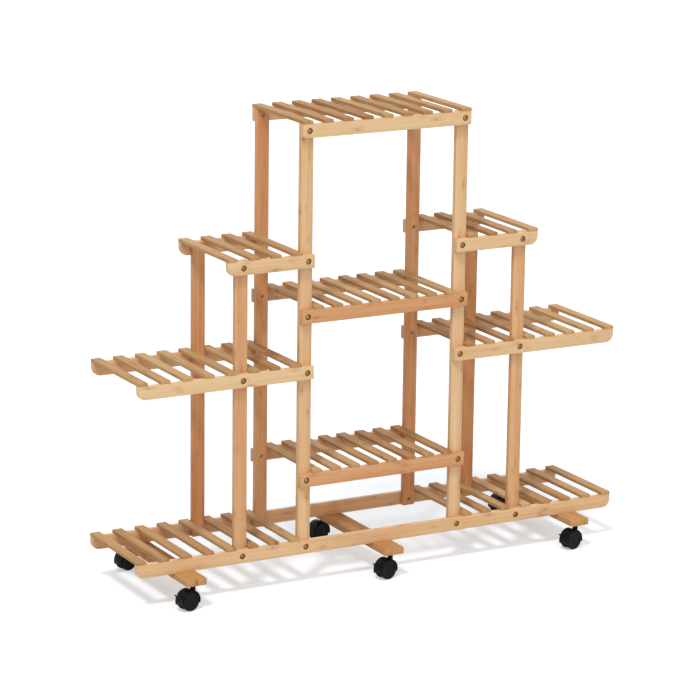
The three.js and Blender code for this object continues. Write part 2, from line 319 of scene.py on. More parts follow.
def finish_piece(piece: Piece, body: str, slot: str, finish: Material, *nodes: str) -> None:
    """Gives a piece its finish, its body and the solids that it stands for.

    Args:
        piece: The finished mesh.
        body: The body that it rides on.
        slot: The record's material slot; not used.
        finish: The material that covers it.
        *nodes: The solids that it replaces.
    """
    if not piece.data.materials:
        piece.data.materials.append(finish)
    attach(piece, body)
    if nodes:
        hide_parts(*nodes)
    log.info("%s on %s, %d faces", piece.name, body, len(piece.data.polygons))


# ------------------------------------------------------------------ finishes


def linear(code: str) -> tuple[float, float, float, float]:
    """Turns a colour written as six hex digits into linear light."""
    parts = [int(code[i : i + 2], 16) / 255 for i in (0, 2, 4)]
    light = [p / 12.92 if p <= 0.04045 else ((p + 0.055) / 1.055) ** 2.4 for p in parts]
    return (*light, 1.0)


class NodeBench:
    """Adds and links shader nodes in one tree."""

    def __init__(self, tree: Tree) -> None:
        """Works on the given tree."""
        self.tree = tree

    def add(self, kind: str, **settings: object) -> Node:
        """Adds a node and sets its properties."""
        node = self.tree.nodes.new(kind)
        for key, value in settings.items():
            setattr(node, key, value)
        return node

    def feed(self, socket: Socket, value: object) -> None:
        """Links a socket to another one, or sets its value."""
        if isinstance(value, Socket):
            self.tree.links.new(value, socket)
        else:
            socket.default_value = value

    def fill(self, node: Node, values: dict[str, object]) -> Node:
        """Links or sets a node's inputs by name and returns the node."""
        for name, value in values.items():
            self.feed(node.inputs[name], value)
        return node

    def result(self, kind: str, *values: object, **settings: object) -> Socket:
        """Adds a node, feeds its inputs in order and returns its first output.

        Args:
            kind: The node's type.
            *values: A link or a value for each input.
            **settings: The node's properties.

        Returns:
            The output.
        """
        node = self.add(kind, **settings)
        for socket, value in zip(node.inputs, values):
            self.feed(socket, value)
        return node.outputs[0]

    def maths(self, operation: str, *values: object, clamp: bool = False) -> Socket:
        """Adds a Math node and returns its result."""
        return self.result("ShaderNodeMath", *values, operation=operation, use_clamp=clamp)

    def lean(self, value: object, amount: float, base: object) -> Socket:
        """Adds to a base as much as a value of 0 to 1 leans off its middle, times an amount."""
        return self.maths("MULTIPLY_ADD", self.maths("SUBTRACT", value, 0.5), amount, base)

    def stretch(self, vector: object, scale: Place) -> Socket:
        """Scales a vector axis by axis and returns the result."""
        return self.result("ShaderNodeVectorMath", vector, scale, operation="MULTIPLY")

    def noise(self, vector: object, detail: float, rough: float = 0.5) -> Socket:
        """Adds a noise texture at scale one and returns its value."""
        node = self.add("ShaderNodeTexNoise", noise_dimensions="3D")
        values = {"Vector": vector, "Scale": 1.0, "Detail": detail, "Roughness": rough}
        return self.fill(node, values).outputs[0]

    def chance(self, seed: object) -> Socket:
        """Adds a white noise texture and returns its value, 0 to 1 for each seed."""
        node = self.add("ShaderNodeTexWhiteNoise", noise_dimensions="1D")
        return self.fill(node, {"W": seed}).outputs["Value"]

    def ramp(self, value: object, low: float, high: float) -> Socket:
        """Maps low..high smoothly onto 0..1 and returns the result."""
        node = self.add("ShaderNodeMapRange", interpolation_type="SMOOTHSTEP")
        self.fill(node, {"Value": value, "From Min": low, "From Max": high})
        return node.outputs["Result"]

    def seen(self) -> Socket:
        """Returns 1 for camera, glossy and transmission rays and 0 for others."""
        path = self.add("ShaderNodeLightPath")
        first, second, third = (
            path.outputs[f"Is {kind} Ray"] for kind in ("Camera", "Glossy", "Transmission")
        )
        return self.maths("MAXIMUM", self.maths("MAXIMUM", first, second), third)

    def blend(self, factor: object, first: object, second: object) -> Socket:
        """Mixes two colours and returns the result."""
        node = self.add("ShaderNodeMix", data_type="RGBA")
        self.feed(node.inputs[0], factor)
        self.feed(node.inputs[6], first)
        self.feed(node.inputs[7], second)
        return node.outputs[2]


def new_group(name: str, inputs: dict[str, str]) -> tuple[NodeBench, Node, Node]:
    """Makes an empty shader node group that gives Colour, Roughness and Height.

    Args:
        name: The group's name.
        inputs: The kind of each input: Color, Float or Vector.

    Returns:
        The bench to work on, the group's input node and its output node.
    """
    group = bpy.data.node_groups.new(name, "ShaderNodeTree")
    outputs = {"Colour": "Color", "Roughness": "Float", "Height": "Float"}
    for way, sockets in (("INPUT", inputs), ("OUTPUT", outputs)):
        for label, kind in sockets.items():
            group.interface.new_socket(label, in_out=way, socket_type=f"NodeSocket{kind}")
    bench = NodeBench(group)
    return bench, bench.add("NodeGroupInput"), bench.add("NodeGroupOutput")


def bamboo_figure_group() -> Tree:
    """Builds the figure of laminated bamboo: fibres, glued strips, culm nodes and pores.

    Returns:
        The group. Its Lath input is in metres: along the fibres, across the face, through it.
    """
    inputs = {
        "Lath": "Vector",
        "Tone": "Float",
        "Pale": "Color",
        "Deep": "Color",
        "Node Mark": "Color",
        "Contrast": "Float",
        "Roughness": "Float",
    }
    bench, given, out = new_group("bamboo_figure", inputs)
    lath, tone, pale, deep, node_mark, contrast, smooth = given.outputs[: len(inputs)]
    split = bench.add("ShaderNodeSeparateXYZ")
    bench.feed(split.inputs[0], lath)
    along, across = split.outputs[0], split.outputs[1]

    fibres = bench.noise(bench.stretch(lath, (14, 950, 950)), 3.0, 0.6)
    bands = bench.noise(bench.stretch(lath, (2.2, 150, 150)), 2.0)
    drift = bench.noise(bench.stretch(lath, (5, 14, 14)), 1.0)
    pores = bench.ramp(bench.noise(bench.stretch(lath, (55, 2400, 2400)), 1.0), 0.62, 0.72)

    strip_width, node_spacing = 0.0063, 0.235
    row = bench.maths("FLOOR", bench.maths("DIVIDE", across, strip_width))
    strip_tone = bench.chance(row)

    cell = bench.maths("MULTIPLY_ADD", strip_tone, 3.7, bench.maths("DIVIDE", along, node_spacing))
    wave = bench.noise(bench.stretch(lath, (0.5, 330, 330)), 1.0)
    place = bench.chance(bench.maths("MULTIPLY_ADD", row, 17.0, bench.maths("FLOOR", cell)))
    centre = bench.maths("MULTIPLY_ADD", place, 0.6, 0.2)
    offset = bench.maths("SUBTRACT", bench.maths("FRACT", cell), centre)
    offset = bench.maths("MULTIPLY_ADD", wave, 0.01, offset)
    distance = bench.maths("ABSOLUTE", bench.maths("SUBTRACT", offset, 0.005))
    strength = bench.maths("FRACT", bench.maths("MULTIPLY", place, 9.7))
    line = bench.maths("SUBTRACT", strength, bench.ramp(distance, 0.002, 0.009), clamp=True)
    halo = bench.maths("SUBTRACT", strength, bench.ramp(distance, 0.004, 0.1), clamp=True)

    mix = 0.0
    for source, amount in ((bands, 1.5), (fibres, 1.1), (drift, 0.9), (strip_tone, 0.28)):
        mix = bench.lean(source, amount, mix)
    mix = bench.maths("MULTIPLY_ADD", mix, contrast, tone)
    mix = bench.maths("MULTIPLY_ADD", pores, 0.22, mix, clamp=True)
    colour = bench.blend(mix, pale, deep)
    mark = bench.maths("MULTIPLY_ADD", line, 0.34, bench.maths("MULTIPLY", halo, 0.34), clamp=True)
    colour = bench.blend(mark, colour, node_mark)

    rough = bench.maths("MULTIPLY_ADD", fibres, 0.22, smooth)
    height = bench.maths("MULTIPLY_ADD", line, 0.8, bench.maths("MULTIPLY", fibres, 0.5))
    height = bench.maths("MULTIPLY_ADD", pores, -0.5, height)
    bench.fill(out, {"Colour": colour, "Roughness": rough, "Height": height})
    return bench.tree


def moulding_skin_group() -> Tree:
    """Builds the skin of moulded or plated parts: a fine pebble with faint cloudy wear.

    Returns:
        The group, which reads its Place input in metres.
    """
    inputs = {
        "Place": "Vector",
        "Colour": "Color",
        "Worn Colour": "Color",
        "Pebble Size": "Float",
        "Roughness": "Float",
    }
    bench, given, out = new_group("moulding_skin", inputs)
    place, fresh, worn_colour, pebble_size, smooth = given.outputs[: len(inputs)]
    scaled = bench.add("ShaderNodeVectorMath", operation="SCALE")
    bench.fill(scaled, {"Vector": place, "Scale": bench.maths("DIVIDE", 1.0, pebble_size)})
    pebble = bench.noise(scaled.outputs[0], 2.0)
    worn = bench.ramp(bench.noise(bench.stretch(place, (90, 90, 90)), 2.0), 0.45, 0.8)
    colour = bench.blend(worn, fresh, worn_colour)
    rough = bench.maths("MULTIPLY_ADD", worn, 0.12, smooth)
    bench.fill(out, {"Colour": colour, "Roughness": rough, "Height": pebble})
    return bench.tree


def new_surface(name: str, figure: Tree, bump: Pair) -> tuple[Material, NodeBench, Node, Node]:
    """Makes a material that takes its colour, roughness and relief from a group.

    Args:
        name: The material's name.
        figure: The group, which gives Colour, Roughness and Height.
        bump: The relief's strength, and its depth in metres.

    Returns:
        The material, its bench, its group node and its Principled node.
    """
    material = bpy.data.materials.new(name)
    material.use_nodes = True
    bench = NodeBench(material.node_tree)
    skin = material.node_tree.nodes["Principled BSDF"]
    group = bench.add("ShaderNodeGroup", node_tree=figure)
    colour, rough, height = group.outputs
    strength, depth = bump
    relief = bench.add("ShaderNodeBump")
    bench.fill(relief, {"Strength": strength, "Distance": depth, "Height": height})
    bench.fill(skin, {"Base Color": colour, "Roughness": rough, "Normal": relief.outputs[0]})
    return material, bench, group, skin


@dataclass(frozen=True)
class BambooFinish:
    """Clear-lacquered laminated bamboo, for one kind of lath."""

    name: str
    pale: str
    deep: str
    node_mark: str
    contrast: float
    rough: float = 0.36
    gloss: float = 0.35
    coat: float = 0.1

    def material(self, figure: Tree) -> Material:
        """Makes the material.

        Args:
            figure: The bamboo figure group.

        Returns:
            The material, which reads the lath's own place from its mesh.
        """
        material, bench, group, skin = new_surface(self.name, figure, (0.35, 0.0004))
        lath = bench.add("ShaderNodeAttribute", attribute_name="lath")
        tone = bench.add("ShaderNodeAttribute", attribute_name="lath_tone")
        own = {
            "Lath": lath.outputs["Vector"],
            "Tone": tone.outputs["Fac"],
            "Pale": linear(self.pale),
            "Deep": linear(self.deep),
            "Node Mark": linear(self.node_mark),
            "Contrast": self.contrast,
            "Roughness": self.rough,
        }
        bench.fill(group, own)
        gloss = {"Specular IOR Level": self.gloss, "Coat Weight": self.coat, "Coat Roughness": 0.35}
        bench.fill(skin, gloss)
        return material


@dataclass(frozen=True)
class MouldedFinish:
    """Black moulded plastic or plated steel."""

    name: str
    colour: str
    worn: str
    roughness: float
    pebble: float
    bump: float
    metallic: float = 0.0

    def material(self, figure: Tree) -> Material:
        """Makes the material.

        Args:
            figure: The moulding skin group.

        Returns:
            The material, which reads Object coordinates.
        """
        material, bench, group, skin = new_surface(self.name, figure, (self.bump, 0.0002))
        own = {
            "Place": bench.add("ShaderNodeTexCoord").outputs["Object"],
            "Colour": linear(self.colour),
            "Worn Colour": linear(self.worn),
            "Pebble Size": self.pebble,
            "Roughness": self.roughness,
        }
        bench.fill(group, own)
        gloss = 0.5 if self.metallic else 0.12
        bench.fill(skin, {"Metallic": self.metallic, "Specular IOR Level": gloss})
        return material


class Finishes:
    """Every finish on the stand, made once."""

    def __init__(self) -> None:
        """Makes the shared groups and the materials."""
        figure = bamboo_figure_group()
        skin = moulding_skin_group()

        def bamboo(*values: object, **surface: float) -> Material:
            """Makes a bamboo finish from its values."""
            return BambooFinish(*values, **surface).material(figure)

        def moulded(*values: object) -> Material:
            """Makes a moulded or plated finish from its values."""
            return MouldedFinish(*values).material(skin)

        upright = ("E1BD8D", "C06F30", "AA6128")
        matt = {"rough": 0.5, "gloss": 0.08, "coat": 0.0}
        self.post = bamboo("bamboo_post", *upright, 0.42)
        self.rail = bamboo("bamboo_rail", *upright, 0.38)
        # The slats are deeper than the rails partly in their own tone and partly as painted shade:
        # the lesser light on their tops is put into their colour.
        self.slat = bamboo("bamboo_slat", "C8A272", "9E6B3C", "87572C", 0.55, **matt)
        self.board = bamboo("bamboo_board", "D5A470", "AE7748", "8C5428", 0.3, **matt)
        self.hood = moulded("castor_hood", "08080A", "0F0F11", 0.45, 0.0006, 0.25)
        self.wheel = moulded("castor_wheel", "0E0E10", "161618", 0.5, 0.0008, 0.2)
        self.lever = moulded("brake_lever", "08080A", "101012", 0.4, 0.0006, 0.2)
        self.steel = moulded("plated_steel", "8E8B84", "6B665C", 0.3, 0.0004, 0.15, 1.0)
        self.bolt = moulded("brassed_bolt", "AE834C", "7C5A30", 0.3, 0.0004, 0.15, 1.0)
        # Painted shade: the washers' dark brown stands in for the shade in the ring round each bolt
        # head.
        self.washer = moulded("washer_painted_shade", "3A2412", "50351C", 0.55, 0.0004, 0.2, 1.0)


# ------------------------------------------------------------------ laths


class Lay(Enum):
    """How a lath lies: the axes along its fibres, across its face and through it."""

    RAIL = (0, 2, 1)
    SLAT = (1, 0, 2)
    POST = (2, 0, 1)


def mark_fibres(piece: Piece, lay: Lay, tone: float) -> None:
    """Writes where each point lies in its own lath, for the bamboo figure.

    Args:
        piece: The lath.
        lay: How it lies.
        tone: 0 for the palest lath to 1 for the deepest.
    """
    mesh = piece.data
    shift = Vector([TONES.uniform(0, 6) for _ in range(3)])
    vectors: list[float] = []
    for vertex in mesh.vertices:
        vectors.extend(vertex.co[axis] + shift[i] for i, axis in enumerate(lay.value))
    lath = mesh.attributes.new("lath", "FLOAT_VECTOR", "POINT")
    lath.data.foreach_set("vector", vectors)
    tones = mesh.attributes.new("lath_tone", "FLOAT", "POINT")
    tones.data.foreach_set("value", [tone] * len(mesh.vertices))


@dataclass(frozen=True)
class Stock:
    """The laths' sizes in metres, shared by every deck and post."""

    post_width: float = 25 * MM
    post_thick: float = 10 * MM
    rail_height: float = 25 * MM
    rail_thick: float = 10 * MM
    slat_width: float = 19 * MM
    slat_thick: float = 6 * MM
    half_depth: float = 100 * MM
    ease: float = 1.2 * MM
    end_radius: float = 15 * MM
    slat_clear: float = 0.4 * MM
    centre_x: float = 159 * MM
    outer_x: float = 288 * MM
    lower_reach: float = 494 * MM
    bottom_reach: float = 498 * MM
    bore: float = 3.3 * MM
    head_bore: float = 5.4 * MM
    head_depth: float = 4 * MM

    @property
    def post_edge(self) -> float:
        """How far slats keep from a post's middle."""
        return self.post_width / 2 + self.slat_clear

    @property
    def centre_reach(self) -> float:
        """Where the centre posts' outer faces are."""
        return self.centre_x + self.post_width / 2

    @property
    def inner_face(self) -> float:
        """Where the rails meet the posts."""
        return self.half_depth - self.rail_thick


STOCK = Stock()
BOTTOM_Z = 71.5 * MM
LEVELS = {
    "bottom": BOTTOM_Z,
    "centre_lower": BOTTOM_Z + 125 * MM,
    "side_lower": BOTTOM_Z + 326 * MM,
    "centre_upper": BOTTOM_Z + 429 * MM,
    "side_upper": BOTTOM_Z + 530.5 * MM,
    "top": BOTTOM_Z + 765.5 * MM,
}


def spread(first: float, last: float, count: int) -> list[float]:
    """Places slats evenly between two edges, the outer ones flush with them.

    Args:
        first: The first edge.
        last: The last edge.
        count: How many slats there are.

    Returns:
        The middles of the slats.
    """
    width = STOCK.slat_width
    if count == 1:
        return [last - width / 2]
    pitch = (last - first - width) / (count - 1)
    return [first + width / 2 + i * pitch for i in range(count)]


def wing(reach: float, outside: int) -> list[float]:
    """Places the slats of the right-hand wing: three between the posts and some outside."""
    s = STOCK
    between = spread(s.centre_x + s.post_edge, s.outer_x - s.post_edge, 3)
    return between + spread(s.outer_x + s.post_edge, reach, outside)


@dataclass
class Deck:
    """Two rails with slats across them."""

    name: str
    level: float
    first: float
    last: float
    slats: list[float]
    bolts: list[float]
    tones: Pair
    free_first: bool = False
    free_last: bool = False

    def rail(self, side: int) -> Piece:
        """Shapes one rail.

        Args:
            side: -1 for the front one, 1 for the rear one.

        Returns:
            The rail, drilled and counterbored for its bolts.
        """
        s = STOCK
        word = "front" if side < 0 else "rear"
        ys = sorted((side * s.inner_face, side * s.half_depth))
        low_z = self.level - s.rail_height / 2
        piece = block(
            f"{self.name}_{word}_rail",
            (self.first, ys[0], low_z),
            (self.last, ys[1], low_z + s.rail_height),
        )
        ends = [x for x, free in ((self.first, self.free_first), (self.last, self.free_last)) if free]

        def free_corner(edge: bmesh.types.BMEdge) -> bool:
            """Says whether an edge is the lower corner of a free end."""
            a, b = (v.co for v in edge.verts)
            at_end = any(abs(a.x - x) + abs(b.x - x) < SAME_PLACE for x in ends)
            return at_end and abs(a.z - low_z) + abs(b.z - low_z) < SAME_PLACE

        with editing(piece):
            bevel_edges(piece, free_corner, s.end_radius, 10)
            round_sharp(0.9 * MM)
        outside = side * s.half_depth
        drills = []
        for x in self.bolts:
            steps = [
                (-side * 25 * MM, s.bore),
                (-side * s.head_depth, s.bore),
                (-side * s.head_depth, s.head_bore),
                (-side * 0.5 * MM, s.head_bore),
                (side * 0.5 * MM, s.head_bore + 1 * MM),
            ]
            drills.append(turned("drill", (x, outside, self.level), 1, steps, 28))
        combine(piece, drills)
        shade(piece)
        mark_fibres(piece, Lay.RAIL, self.tones[side > 0])
        return piece

    def slat_row(self, model: Piece) -> Piece:
        """Lays the slats.

        Args:
            model: One slat, drawn in the middle of the stand at height zero.

        Returns:
            The row as one piece.
        """
        height = self.level + STOCK.rail_height / 2
        row = []
        for i, x in enumerate(self.slats):
            half_turn = math.pi if TONES.random() < 0.5 else 0.0
            place = Matrix.Translation((x, 0, height)) @ Matrix.Rotation(half_turn, 4, "Z")
            slat = copy_to(model, f"{self.name}_slat_{i}", place)
            mark_fibres(slat, Lay.SLAT, min(1.0, max(0.0, TONES.gauss(0.46, 0.16))))
            row.append(slat)
        return join(f"{self.name}_slats", row)

    def in_holes(self, model: Piece, word: str) -> Piece:
        """Puts a bolt or a washer in every hole.

        Args:
            model: One of them, its face just under Y zero and its rear towards +Y.
            word: What the row is called.

        Returns:
            The deck's row as one piece.
        """
        row = []
        for side in (-1, 1):
            for x in self.bolts:
                turn = Matrix.Rotation(TONES.uniform(0, math.pi), 4, "Y")
                face = Matrix.Rotation(0 if side < 0 else math.pi, 4, "Z")
                place = Matrix.Translation((x, side * STOCK.half_depth, self.level))
                row.append(copy_to(model, word, place @ face @ turn))
        return join(f"{self.name}_{word}", row)


def all_decks() -> list[Deck]:
    """Lists the eight decks from the top down."""
    s = STOCK
    reach = s.centre_reach
    inner = s.centre_x - s.post_width / 2
    inside = s.centre_x - s.post_edge
    upper_reach = s.outer_x + s.post_edge + s.slat_width
    pair = [-s.centre_x, s.centre_x]
    row = spread(-inside, inside, 8)
    wide = s.bottom_reach
    bottom = sorted(sign * x for sign in (-1, 1) for x in wing(wide, 5))
    posts = [-s.outer_x, -s.centre_x, s.centre_x, s.outer_x]
    decks = [
        Deck("top_deck", LEVELS["top"], -reach, reach, spread(-reach, reach, 9), pair, (0.07, 0.3)),
        Deck("centre_upper_deck", LEVELS["centre_upper"], -reach, reach, row, pair, (0.58, 0.5)),
        Deck("centre_lower_deck", LEVELS["centre_lower"], -reach, reach, row, pair, (0.58, 0.5)),
        Deck("bottom_deck", LEVELS["bottom"], -wide, wide, bottom, posts, (0.26, 0.4), True, True),
    ]
    for level, end, outside, left, right in (
        ("side_upper", upper_reach, 1, 0.15, 0.12),
        ("side_lower", s.lower_reach, 5, 0.02, 0.2),
    ):
        for hand, sign, tone in (("left", -1, left), ("right", 1, right)):
            name = f"{level}_deck_{hand}"
            first, last = sorted((sign * inner, sign * end))
            slats = sorted(sign * x for x in wing(end, outside))
            bolts = [sign * s.centre_x, sign * s.outer_x]
            free = {"free_first": sign < 0, "free_last": sign > 0}
            decks.append(Deck(name, LEVELS[level], first, last, slats, bolts, (tone, 0.4), **free))
    return decks


@dataclass(frozen=True)
class Post:
    """One upright lath."""

    name: str
    x: float
    side: int
    top: float
    bolts: tuple[float, ...]
    tone: float

    def build(self) -> Piece:
        """Shapes the post and drills it.

        Returns:
            The post.
        """
        s = STOCK
        ys = sorted((self.side * s.inner_face, self.side * (s.inner_face - s.post_thick)))
        half = s.post_width / 2
        piece = block(
            self.name,
            (self.x - half, ys[0], BOTTOM_Z - s.rail_height / 2),
            (self.x + half, ys[1], self.top + s.rail_height / 2),
        )
        with editing(piece):
            round_sharp(s.ease)
        start = (self.x, (ys[0] + ys[1]) / 2 - s.post_thick, 0)
        drills = []
        for z in self.bolts:
            drills.append(rod("drill", s.bore, (start[0], start[1], z), 1, 2 * s.post_thick, 28))
        combine(piece, drills)
        shade(piece)
        mark_fibres(piece, Lay.POST, self.tone)
        return piece


def all_posts() -> list[Post]:
    """Lists the eight posts."""
    s = STOCK
    outer_bolts = tuple(LEVELS[k] for k in ("bottom", "side_lower", "side_upper"))
    kinds = {
        "centre": (s.centre_x, LEVELS["top"], tuple(LEVELS.values()), (0.28, 0.6)),
        "outer": (s.outer_x, LEVELS["side_upper"], outer_bolts, (0.49, 0.72)),
    }
    posts = []
    for depth, side in (("front", -1), ("rear", 1)):
        for hand, sign in (("left", -1), ("right", 1)):
            for kind, (x, top, bolts, tones) in kinds.items():
                name = f"{kind}_post_{depth}_{hand}"
                posts.append(Post(name, sign * x, side, top, bolts, tones[side > 0]))
    return posts


def slat_model() -> Piece:
    """Shapes one slat in the middle of the stand, its underside at height zero."""
    s = STOCK
    half = s.slat_width / 2
    piece = block("slat_model", (-half, -s.half_depth, 0), (half, s.half_depth, s.slat_thick))
    with editing(piece):
        bevel_edges(piece, lambda e: all(v.co.z > s.slat_thick / 2 for v in e.verts), 1.1 * MM)
        bevel_edges(piece, lambda e: all(v.co.z < SAME_PLACE for v in e.verts), 0.4 * MM, 1)
    return shade(piece)


@dataclass(frozen=True)
class Fastener:
    """The socket-head bolt that holds a rail to a post, and the board screw."""

    head_radius: float = 4.2 * MM
    head_height: float = 3.2 * MM
    recess: float = 0.6 * MM
    socket: float = 2.4 * MM
    shank: float = 3.0 * MM
    length: float = 17 * MM

    def bolt(self) -> Piece:
        """Shapes one bolt with its head's face just under Y zero.

        Returns:
            The bolt.
        """
        top, bottom = self.recess, self.recess + self.head_height
        ease = 0.6 * MM
        profile = [
            (top, self.head_radius - 1.7 * MM),
            (top + 0.15 * MM, self.head_radius - 1 * MM),
            (top + ease, self.head_radius - 0.4 * MM),
            (top + 1.3 * MM, self.head_radius),
            (bottom, self.head_radius),
            (bottom, self.shank),
            (self.length - ease, self.shank),
            (self.length, self.shank - ease),
        ]
        piece = turned("bolt_model", (0, 0, 0), 1, profile, 28)
        combine(piece, [rod("key", self.socket, (0, -1 * MM, 0), 1, bottom, 6)])
        return shade(piece)

    def washer(self) -> Piece:
        """Shapes the cupped washer that the bolt's head sits in. Its dark brown finish paints the
        shade in the gap round the head.

        Returns:
            The washer.
        """
        rim, cup, deep = 5.3 * MM, self.head_radius + 0.15 * MM, self.recess + self.head_height
        profile = [
            (deep, cup),
            (1.4 * MM, cup),
            (1.1 * MM, cup + 0.25 * MM),
            (1.1 * MM, rim - 0.2 * MM),
            (1.3 * MM, rim),
            (deep + 0.15 * MM, rim),
        ]
        piece = turned("washer_model", (0, 0, 0), 1, profile, 28)
        combine(piece, [rod("shank_hole", self.shank + 0.2 * MM, (0, 0, 0), 1, 6 * MM, 28)])
        return shade(piece)

    def screw(self) -> Piece:
        """Shapes one countersunk screw, its face just under height zero, pointing up.

        Returns:
            The screw.
        """
        profile = [
            (0.3 * MM, 3.6 * MM),
            (0.7 * MM, 3.6 * MM),
            (2.9 * MM, 1.7 * MM),
            (21 * MM, 1.6 * MM),
            (24 * MM, 0.3 * MM),
        ]
        piece = turned("screw_model", (0, 0, 0), 2, profile, 24)
        slot_long, slot_wide, deep = 2.2 * MM, 0.5 * MM, 1.6 * MM
        for a, b in ((slot_long, slot_wide), (slot_wide, slot_long)):
            combine(piece, [block("cross", (-a, -b, -1 * MM), (a, b, deep))])
        return shade(piece)


# ------------------------------------------------------------------ cross boards


@dataclass(frozen=True)
class CastorBoard:
    """A cross board under the bottom rails."""

    name: str
    x: float
    underside: float = 47 * MM
    width: float = 40 * MM
    thick: float = 12 * MM
    half_length: float = 147.5 * MM
    corner: float = 4 * MM
    castor_y: float = 130 * MM
    stem_bore: float = 4.3 * MM
    screw_x: float = 11 * MM

    def build(self) -> Piece:
        """Shapes the board and drills it for the stems.

        Returns:
            The board.
        """
        half = self.width / 2
        piece = block(
            self.name,
            (self.x - half, -self.half_length, self.underside),
            (self.x + half, self.half_length, self.underside + self.thick),
        )
        with editing(piece):
            bevel_edges(
                piece,
                lambda e: abs(e.verts[0].co.z - e.verts[1].co.z) > self.thick / 2,
                self.corner,
                segments=5,
            )
            round_sharp(1.0 * MM)
        holes = []
        for y in (-self.castor_y, self.castor_y):
            start = (self.x, y, self.underside - 1 * MM)
            holes.append(rod("stem_hole", self.stem_bore, start, 2, 10.3 * MM, 28))
        for x, y in self.screw_places():
            start = (x, y, self.underside)
            steps = [(-1 * MM, 4 * MM), (0.6 * MM, 4 * MM), (3.1 * MM, 1.9 * MM), (14 * MM, 1.9 * MM)]
            holes.append(turned("screw_hole", start, 2, steps, 24))
        combine(piece, holes)
        shade(piece)
        mark_fibres(piece, Lay.SLAT, 0.5)
        return piece

    def screw_places(self) -> list[Pair]:
        """Lists where the screws go up into the rails."""
        y = STOCK.half_depth - STOCK.rail_thick / 2
        return [(self.x + dx * self.screw_x, dy * y) for dx in (-1, 1) for dy in (-1, 1)]

    def screws(self, model: Piece) -> Piece:
        """Puts the board's screws in.

        Args:
            model: One screw, pointing up from height zero.

        Returns:
            The screws as one piece.
        """
        row = []
        for x, y in self.screw_places():
            turn = Matrix.Rotation(TONES.uniform(0, math.pi), 4, "Z")
            place = Matrix.Translation((x, y, self.underside))
            row.append(copy_to(model, "screw", place @ turn))
        return join(f"{self.name}_screws", row)


# ------------------------------------------------------------------ castors


